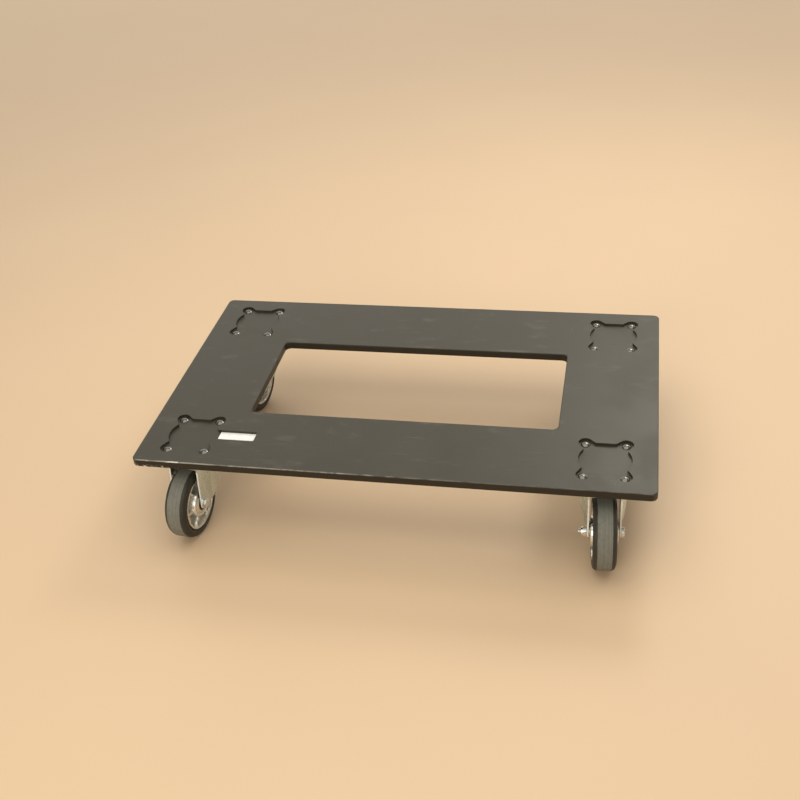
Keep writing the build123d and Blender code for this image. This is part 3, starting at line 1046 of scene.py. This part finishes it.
# ---- the board ----------------------------------------------------------------------------
@dataclass
class Board:
    """The painted board with its label, bolts and nuts."""

    bolt_head_radius: float = 10.0 * MM
    bolt_head_height: float = 4.4 * MM
    bolt_rim: float = 0.7 * MM
    bolt_radius: float = 4.0 * MM
    thread_pitch: float = 1.25 * MM
    thread_length: float = 22.0 * MM
    nut_across_flats: float = 13.0 * MM
    nut_flange_radius: float = 9.0 * MM
    bore_play: float = 0.05 * MM
    label_wave: float = 0.096 * MM
    label_fill: float = 0.45
    opening_margin: float = 10.0 * MM
    dome_points: int = 12
    head_segments: int = 40
    rod_segments: int = 20
    nut_segments: int = 48

    def pivots(self) -> list[Vector]:
        """King pin positions, read from the swivel joints."""
        return [Vector(j["pos_m"]) for j in frame["joints"] if j["name"].endswith("swivel_turn")]

    def bolt_axes(self) -> list[Axis]:
        """Find the sixteen bolts: four round each king pin, spaced as the bolts' own box says.

        Returns:
            One upright frame for each bolt.
        """
        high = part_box("deck_bolts")[1]
        centres = self.pivots()
        reach_x = high.x - self.bolt_head_radius - max(p.x for p in centres)
        reach_y = high.y - self.bolt_head_radius - max(p.y for p in centres)
        return [Axis.upright(p.x + sx * reach_x, p.y + sy * reach_y)
                for p in centres for sx in (-1, 1) for sy in (-1, 1)]

    def paint(self) -> BoardPaint:
        """Fit the paint to the board's own box and to the opening stated in the record.

        Returns:
            The board's finish.
        """
        low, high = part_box("deck_board")
        half = (high - low) / 2
        opening = frame["record"]["physics"]["openings"][0]["box_m"][1]
        cutout = (opening[0] + self.opening_margin, opening[1] + self.opening_margin, 1.0)
        return BoardPaint("board_paint", "board_paint", tuple((low + high) / 2), (half.x, half.y, 1.0),
                          cutout, (low.z, high.z))

    def build(self) -> None:
        """Dress the board and build its label, bolts and nuts."""
        dress("deck_board", self.paint())
        self.build_label()
        self.build_bolts()
        self.build_nuts()

    def build_label(self) -> None:
        """Label: two sheets, the upper one rippled by 0.5 + 0.5 sin(9 u) cos(4 v)."""
        low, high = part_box("id_label")
        across, along = 12, 40
        u, v = np.meshgrid(np.linspace(0.0, 1.0, along), np.linspace(0.0, 1.0, across), indexing="xy")
        x = low.x + u * (high.x - low.x)
        y = low.y + v * (high.y - low.y)
        ripple = self.label_wave * (0.5 + 0.5 * np.sin(u * 9.0) * np.cos(v * 4.0))
        top = np.stack([x, y, low.z + (high.z - low.z) * self.label_fill + ripple], axis=2)
        bottom = np.stack([x, y, np.full_like(x, low.z)], axis=2)[::-1]
        sides = grid_faces(2 * across, along, True, False)
        i = np.arange(across - 1) * along
        mirror = (2 * across - 1) * along - i
        end = np.stack([i, i + along, mirror - along, mirror], axis=1)
        faces = np.concatenate([sides, end, end[:, ::-1] + along - 1])
        piece = add_mesh("label_blank", [(np.concatenate([top, bottom]), faces)], LABEL_FILM)
        finish_piece(piece, "board", "id_label")

    def build_bolts(self) -> None:
        """Round-headed bolts: a head whose dome is part of a sphere, turned over a threaded rod."""
        low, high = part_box("deck_bolts")
        seat = high.z - self.bolt_head_height
        r, h, rim = self.bolt_head_radius, self.bolt_head_height, self.bolt_rim
        sphere = (r**2 + (h - rim) ** 2) / (2 * (h - rim))
        angle = math.asin(r / sphere) * np.linspace(1.0, 0.0, self.dome_points)
        dome = np.stack([sphere * np.sin(angle), high.z - sphere + sphere * np.cos(angle)], axis=1)
        foot = np.array([(0.0, seat), (r - 0.3 * MM, seat), (r - 0.08 * MM, seat + 0.08 * MM),
                         (r, seat + 0.3 * MM)])
        outline = np.concatenate([foot, dome])
        blocks = []
        for axis in self.bolt_axes():
            blocks.append(lathe(outline, axis, self.head_segments, closed=False))
            blocks.append(threaded_rod(self.bolt_radius, low.z, seat + rim / 2, self.thread_pitch,
                                       low.z + self.thread_length, axis, self.rod_segments))
        piece = add_mesh("carriage_bolts", blocks, DULL_STEEL)
        finish_piece(piece, "board", "deck_bolts")

    def build_nuts(self) -> None:
        """Flanged nuts: a hexagon with chamfered corners over a round flange, bored through."""
        low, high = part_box("deck_nuts")
        bore = self.bolt_radius + self.bore_play
        flat = self.nut_across_flats / 2
        corner = flat / math.cos(TURN / 12)
        flange = self.nut_flange_radius
        rows = [(bore, low.z + 0.5 * MM), (bore + 0.5 * MM, low.z), (flat - 0.4 * MM, low.z),
                (flat, low.z + 0.2 * MM), (corner, low.z + 0.9 * MM), (corner, high.z - 2.2 * MM)]
        collar = [(flange - 1.4 * MM, high.z - 1.9 * MM), (flange - 0.3 * MM, high.z - 1.3 * MM),
                  (flange, high.z - 0.9 * MM), (flange, high.z - 0.2 * MM), (flange - 0.2 * MM, high.z),
                  (bore, high.z)]
        blocks = [hex_bar(rows, self.nut_across_flats, axis, self.nut_segments, collar)
                  for axis in self.bolt_axes()]
        piece = add_mesh("flange_nuts", blocks, BRIGHT_STEEL)
        finish_piece(piece, "board", "deck_nuts")


# ---- one caster ---------------------------------------------------------------------------
@dataclass
class Caster:
    """One swivel caster, with its sizes and the frames read from its two joints."""

    corner: str
    tyre_half_width: float = 24.5 * MM
    tread_half_width: float = 14.8 * MM
    shoulder_radius: float = 68.6 * MM
    rim_radius: float = 60.0 * MM
    rim_inner_radius: float = 53.0 * MM
    rim_half_width: float = 24.0 * MM
    rim_lip: float = 0.4 * MM
    rim_step: float = 2.0 * MM
    hub_half_length: float = 29.5 * MM
    hub_bore: float = 17.5 * MM
    hub_land_radius: float = 19.5 * MM
    hub_end_radius: float = 31.0 * MM
    hub_dish: float = 2.4 * MM
    hub_fall: float = 1.0 * MM
    hub_round: float = 0.8 * MM
    hub_slope: float = 5.2
    web_half: float = 3.5 * MM
    rib_count: int = 6
    rib_half: float = 3.0 * MM
    rib_slope: float = 7.0
    rib_crest_at_hub: float = 22.5 * MM
    rib_crest_at_rim: float = 19.0 * MM
    fillet: float = 0.625 * MM
    leg_outer: float = 34.5 * MM
    sheet_edge: float = 0.55 * MM
    plate_edge: float = 0.6 * MM
    across_flats: float = 19.0 * MM
    bolt_radius: float = 6.0 * MM
    thread_pitch: float = 1.75 * MM
    thread_length: float = 22.0 * MM
    bore_play: float = 0.05 * MM
    nut_height: float = 12.0 * MM
    stub: float = 6.0 * MM
    seal_bore: float = 8.0 * MM
    seal_inset: float = 0.3 * MM
    seal_depth: float = 1.7 * MM
    wheel_segments: int = 336
    wheel_rings: int = 60
    tyre_segments: int = 192
    seal_segments: int = 72
    rod_segments: int = 32
    axle: Axis = field(init=False)
    wheel_radius: float = field(init=False)

    def __post_init__(self) -> None:
        """Find the axle's frame: Z along the axle, X level and square to it."""
        spin = next(j for j in frame["joints"] if j["name"] == f"{self.corner}_wheel_spin")
        along = np.array(spin["axis"], float)
        ahead = np.cross(along, (0.0, 0.0, 1.0))
        self.axle = Axis(np.array(spin["pos_m"], float), np.stack([ahead, np.cross(along, ahead), along]))
        self.wheel_radius = float(spin["pos_m"][2])

    def node(self, name: str) -> str:
        """This caster's CAD node of that name."""
        return f"{self.corner}_{name}"

    def hexagon(self) -> tuple[float, float]:
        """Half the width across flats, and the radius at the corners, of the head and the nut."""
        return self.across_flats / 2, self.across_flats / 2 / math.cos(TURN / 12)

    def build(self) -> None:
        """Build and dress every piece of this caster."""
        self.build_head()
        self.build_fork()
        self.build_axle_bolt()
        self.build_lock_nut()
        self.build_wheel_centre()
        self.build_tyre()
        self.build_hub_seals()

    def build_head(self) -> None:
        """King pin, balls, bearings and seal keep their CAD shape; the plate gets softer edges."""
        for name in ("king_pin", "axle_sleeve"):
            dress(self.node(name), ZINC)
        for name in ("head_balls", "bearing_inner_rings", "bearing_outer_rings", "bearing_balls"):
            dress(self.node(name), BEARING_STEEL)
        dress(self.node("head_seal"), BLACK_PLASTIC)
        plate = bevelled_copy(self.node("top_plate"), f"{self.corner}_mounting_plate", ZINC, self.plate_edge)
        finish_piece(plate, "board", self.node("top_plate"))

    def build_fork(self) -> None:
        """Pressed fork with softened sheet edges, paler where they were sheared."""
        sheet = SheetMetal(f"{self.corner}_sheet", "zinc_steel", axis=tuple(self.axle.turn[2]))
        fork = bevelled_copy(self.node("fork"), f"{self.corner}_pressed_fork", sheet, self.sheet_edge)
        finish_piece(fork, f"{self.corner}_swivel", self.node("fork"))

    def build_axle_bolt(self) -> None:
        """Axle bolt: a hex head with a washer face and chamfer on a rod with a threaded end."""
        flat, corner = self.hexagon()
        base = self.leg_outer
        head = [(0.0, base), (flat - 0.5 * MM, base), (flat - 0.4 * MM, base + 0.5 * MM),
                (corner, base + 0.6 * MM), (corner, base + 6.0 * MM), (flat + 0.35 * MM, base + 7.0 * MM),
                (flat - 0.4 * MM, base + 7.5 * MM), (0.0, base + 7.35 * MM)]
        end = -base - self.nut_height - self.stub
        rod = threaded_rod(self.bolt_radius, end, base, self.thread_pitch, end + self.thread_length,
                           self.axle, self.rod_segments)
        blocks = [hex_bar(head, self.across_flats, self.axle), rod]
        bolt = add_mesh(f"{self.corner}_hex_axle_bolt", blocks, BRIGHT_STEEL)
        finish_piece(bolt, f"{self.corner}_swivel", self.node("axle_bolt"))

    def build_lock_nut(self) -> None:
        """Lock nut: a bored hexagon with chamfered corners and a round collar at its outer end."""
        flat, corner = self.hexagon()
        inner = -self.leg_outer
        outer = inner - self.nut_height
        bore = self.bolt_radius + self.bore_play
        collar = flat - 0.6 * MM
        nut = [(bore + 0.8 * MM, outer), (collar - 0.6 * MM, outer), (collar, outer + 0.8 * MM),
               (collar, outer + 3.2 * MM), (flat, outer + 3.6 * MM), (corner, outer + 4.6 * MM),
               (corner, inner - 0.9 * MM), (flat, inner), (bore, inner), (bore, outer + 0.8 * MM)]
        blocks = [hex_bar(nut, self.across_flats, self.axle)]
        lock_nut = add_mesh(f"{self.corner}_lock_nut", blocks, BRIGHT_STEEL)
        finish_piece(lock_nut, f"{self.corner}_swivel", self.node("axle_nut"))

    def wheel_face(self, radius: np.ndarray, angle: np.ndarray) -> np.ndarray:
        """Height of the cast face above the wheel's middle plane.

        It is the smooth maximum of four surfaces: a flat web; a hub whose end is dished by one wave of
        (1 - cos) / 2 and whose side falls at a steep slope; a rim that rises to the tyre; and ribs, each
        a wall that falls steeply beside its middle line. The smooth maximum is f log(sum(exp(h / f)))
        for a fillet f, which rounds every root.

        Args:
            radius: distances from the axle.
            angle: angles round the axle.

        Returns:
            Heights of the same shape.
        """
        share = (radius - self.hub_land_radius) / (self.hub_end_radius - self.hub_land_radius)
        share = np.clip(share, 0.0, 1.0)
        dish = self.hub_dish * (0.5 - 0.5 * np.cos(TURN * share))
        past = radius - self.hub_end_radius
        slope = self.hub_slope * (past + np.sqrt(past**2 + self.hub_round**2)) / 2
        hub = self.hub_half_length - dish - self.hub_fall * share - slope
        rise = np.clip((radius - self.rim_inner_radius) / self.rim_step, -1.0, 1.0)
        rim = self.web_half + (self.rim_half_width - self.web_half) * np.clip(rise, 0.0, 1.0)
        rim -= self.rim_step * (rise < 0)
        pitch = TURN / self.rib_count
        beside = radius * np.abs(np.sin((angle + pitch / 2) % pitch - pitch / 2))
        along = past / (self.rim_inner_radius - self.hub_end_radius)
        crest = self.rib_crest_at_hub + (self.rib_crest_at_rim - self.rib_crest_at_hub) * along
        rib = crest - self.rib_slope * np.clip(beside - self.rib_half, 0.0, None)
        peaks = np.stack(np.broadcast_arrays(np.full_like(radius, self.web_half), hub, rim, rib))
        top = peaks.max(axis=0)
        soft = top + np.log(np.exp((peaks - top) / self.fillet).sum(axis=0)) * self.fillet
        at_rim = radius >= self.rim_inner_radius - 2 * self.rim_step
        return np.minimum(soft, np.where(at_rim, self.rim_half_width, self.hub_half_length))

    def build_wheel_centre(self) -> None:
        """Cast centre: one closed grid over the front face, the rim, the back face and the bore."""
        angle = spokes(self.wheel_segments)
        radius = np.linspace(self.hub_bore, self.rim_radius - self.rim_lip, self.wheel_rings)
        grid_r, grid_a = np.meshgrid(radius, angle, indexing="ij")
        front = around(grid_r, grid_a, self.wheel_face(grid_r, grid_a))
        back = front[::-1] * (1.0, 1.0, -1.0)
        lip = self.rim_half_width - self.rim_lip
        rim = around(self.rim_radius, angle, np.array([[lip], [-lip]]))
        points = self.axle.place(np.concatenate([front, rim, back]))
        shell = (points, grid_faces(len(points), len(angle), True, True))
        piece = add_mesh(f"{self.corner}_cast_wheel", [shell], ALUMINIUM)
        finish_piece(piece, f"{self.corner}_wheel", self.node("wheel_centre"))

    def tyre_outline(self) -> np.ndarray:
        """Outline of the tyre: bead, ringed sidewall, full shoulder, and a tread with extra points.

        Returns:
            Closed (radius, lateral) outline in metres.
        """
        wide, tread = self.tyre_half_width, self.tread_half_width
        outer, shoulder, rim = self.wheel_radius, self.shoulder_radius, self.rim_radius
        half = [
            (rim, wide - 1.6 * MM, 0.0),
            (rim + 0.5 * MM, wide - 0.3 * MM, 0.3 * MM),
            (rim + 3.6 * MM, wide - 0.3 * MM, 0.3 * MM),
            (rim + 4.1 * MM, wide - 1.3 * MM, 0.4 * MM),
            (rim + 5.2 * MM, wide - 1.3 * MM, 0.4 * MM),
            (rim + 5.7 * MM, wide, 0.5 * MM),
            (shoulder, wide, 2.5 * MM),
            ((shoulder + outer) / 2 + 2.6 * MM, (wide + tread) / 2 + 2.0 * MM, 7.0 * MM),
            (outer, tread, 2.0 * MM),
        ]
        mirrored = [(r, -z, k) for r, z, k in reversed(half)]
        outline = rounded(half + mirrored, steps=4)
        middle = len(outline) // 2
        lateral = np.linspace(1.0, -1.0, 9)[1:-1] * (tread - 0.8 * MM)
        across = np.stack([np.full_like(lateral, outer), lateral], axis=1)
        return np.concatenate([outline[:middle], across, outline[middle:]])

    def build_tyre(self) -> None:
        """Rubber tyre turned about the axle."""
        rubber = Rubber(f"{self.corner}_rubber", "rubber", tuple(self.axle.origin), tuple(self.axle.turn[2]),
                        self.tread_half_width, self.wheel_radius)
        shell = lathe(self.tyre_outline(), self.axle, self.tyre_segments)
        piece = add_mesh(f"{self.corner}_rubber_tyre", [shell], rubber)
        finish_piece(piece, f"{self.corner}_wheel", self.node("tyre"))

    def build_hub_seals(self) -> None:
        """Black ring at each end of the hub, dished between its two lips."""
        inner, outer, face = self.seal_bore, self.hub_bore, self.hub_half_length - self.seal_inset
        low = face - self.seal_depth
        dish = face - 0.8 * MM
        corners = [
            (inner, low, 0.0),
            (outer, low, 0.0),
            (outer, face, 0.3 * MM),
            (outer - 1.5 * MM, face, 0.3 * MM),
            (outer - 2.2 * MM, dish, 0.4 * MM),
            (inner + 2.6 * MM, dish, 0.4 * MM),
            (inner + 1.8 * MM, face, 0.3 * MM),
            (inner, face, 0.3 * MM),
        ]
        outline = rounded(corners, steps=3)
        blocks = [lathe(outline * (1.0, side), self.axle, self.seal_segments) for side in (1.0, -1.0)]
        piece = add_mesh(f"{self.corner}_hub_rings", blocks, BLACK_PLASTIC)
        finish_piece(piece, f"{self.corner}_wheel", self.node("hub_seals"))


# ---- studio -------------------------------------------------------------------------------
@dataclass(frozen=True)
class Light:
    """A soft rectangular light: place, turn in degrees about X, Y and Z, size and power."""

    place: Triple
    turn: Triple
    width: float
    height: float
    power: float


class Panel(Enum):
    """The studio's lights."""

    OVERHEAD = Light((0.0, -0.4, 3.0), (0.0, 0.0, 0.0), 3.2, 3.2, 50.0)
    BEHIND = Light((0.0, 6.5, 4.0), (-90.0, 0.0, 0.0), 16.0, 8.0, 385.0)
    FRONT = Light((-0.8, -3.6, 1.7), (75.0, 0.0, -12.0), 2.4, 1.6, 60.0)
    KEY = Light((0.75, 1.7, 2.0), (-43.0, 0.0, -24.0), 0.7, 0.7, 15.0)


@dataclass
class Studio:
    """Pale floor, soft lights, warm white surroundings and the camera."""

    camera_place: Triple = (0.4663, -2.0293, 1.6184)
    azimuth: float = -0.2405
    elevation: float = 0.6052
    roll: float = -0.0853
    lens: float = 49.42
    sensor_width: float = 36.0
    shift_y: float = -0.00375
    world_colour: Colour = (1.0, 0.975, 0.92, 1.0)
    world_strength: float = 0.45
    light_colour: Triple = (1.0, 0.97, 0.9)
    floor_reach: float = 24.0
    floor_points: int = 9

    def build(self) -> None:
        """Make the floor, the surroundings, the lights and the camera."""
        bpy.context.scene.view_settings.view_transform = "Standard"
        self.build_floor()
        self.build_world()
        for panel in Panel:
            self.build_panel(panel)
        self.build_camera()

    def build_floor(self) -> None:
        """Flat floor: a square grid of points at height zero."""
        line = np.linspace(-self.floor_reach, self.floor_reach, self.floor_points)
        x, y = np.meshgrid(line, line, indexing="ij")
        points = np.stack([x, y, 0.0 * x], axis=2).reshape(-1, 3)
        faces = grid_faces(self.floor_points, self.floor_points, False, False)[:, ::-1]
        mesh = bpy.data.meshes.new("studio_floor")
        mesh.from_pydata(points.tolist(), [], faces.tolist())
        add_object("studio_floor", mesh, FloorPaint("studio_floor"))

    def build_world(self) -> None:
        """Even, slightly warm white surroundings."""
        world = bpy.data.worlds.new("studio")
        world.use_nodes = True
        background = world.node_tree.nodes["Background"]
        background.inputs["Color"].default_value = self.world_colour
        background.inputs["Strength"].default_value = self.world_strength
        bpy.context.scene.world = world

    def build_panel(self, panel: Panel) -> None:
        """Make one light, unseen by the camera.

        Args:
            panel: which light.
        """
        light = panel.value
        data = bpy.data.lights.new(panel.name.lower(), "AREA")
        data.shape = "RECTANGLE"
        data.size = light.width
        data.size_y = light.height
        data.energy = light.power
        data.color = self.light_colour
        lamp = bpy.data.objects.new(panel.name.lower(), data)
        lamp.location = light.place
        lamp.rotation_euler = [math.radians(a) for a in light.turn]
        lamp.visible_camera = False
        bpy.context.scene.collection.objects.link(lamp)

    def build_camera(self) -> None:
        """Camera aimed by azimuth, elevation and a small roll."""
        e, a = self.elevation, self.azimuth
        ahead = Vector((math.sin(a) * math.cos(e), math.cos(a) * math.cos(e), -math.sin(e)))
        right = ahead.cross(Vector((0.0, 0.0, 1.0))).normalized()
        up = right.cross(ahead)
        rolled_right = math.cos(self.roll) * right + math.sin(self.roll) * up
        rolled_up = math.cos(self.roll) * up - math.sin(self.roll) * right
        turn = Matrix((rolled_right, rolled_up, -ahead)).transposed().to_4x4()
        data = bpy.data.cameras.new("camera")
        data.lens = self.lens
        data.sensor_width = self.sensor_width
        data.shift_y = self.shift_y
        camera = bpy.data.objects.new("camera", data)
        camera.matrix_world = Matrix.Translation(self.camera_place) @ turn
        bpy.context.scene.collection.objects.link(camera)
        bpy.context.scene.camera = camera


def main() -> None:
    """Build the studio, the board and the four casters."""
    logging.basicConfig(level=logging.INFO, format="%(name)s %(message)s")
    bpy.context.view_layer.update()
    Studio().build()
    Board().build()
    for corner in CASTERS:
        Caster(corner).build()


if __name__ == "__main__":
    main()
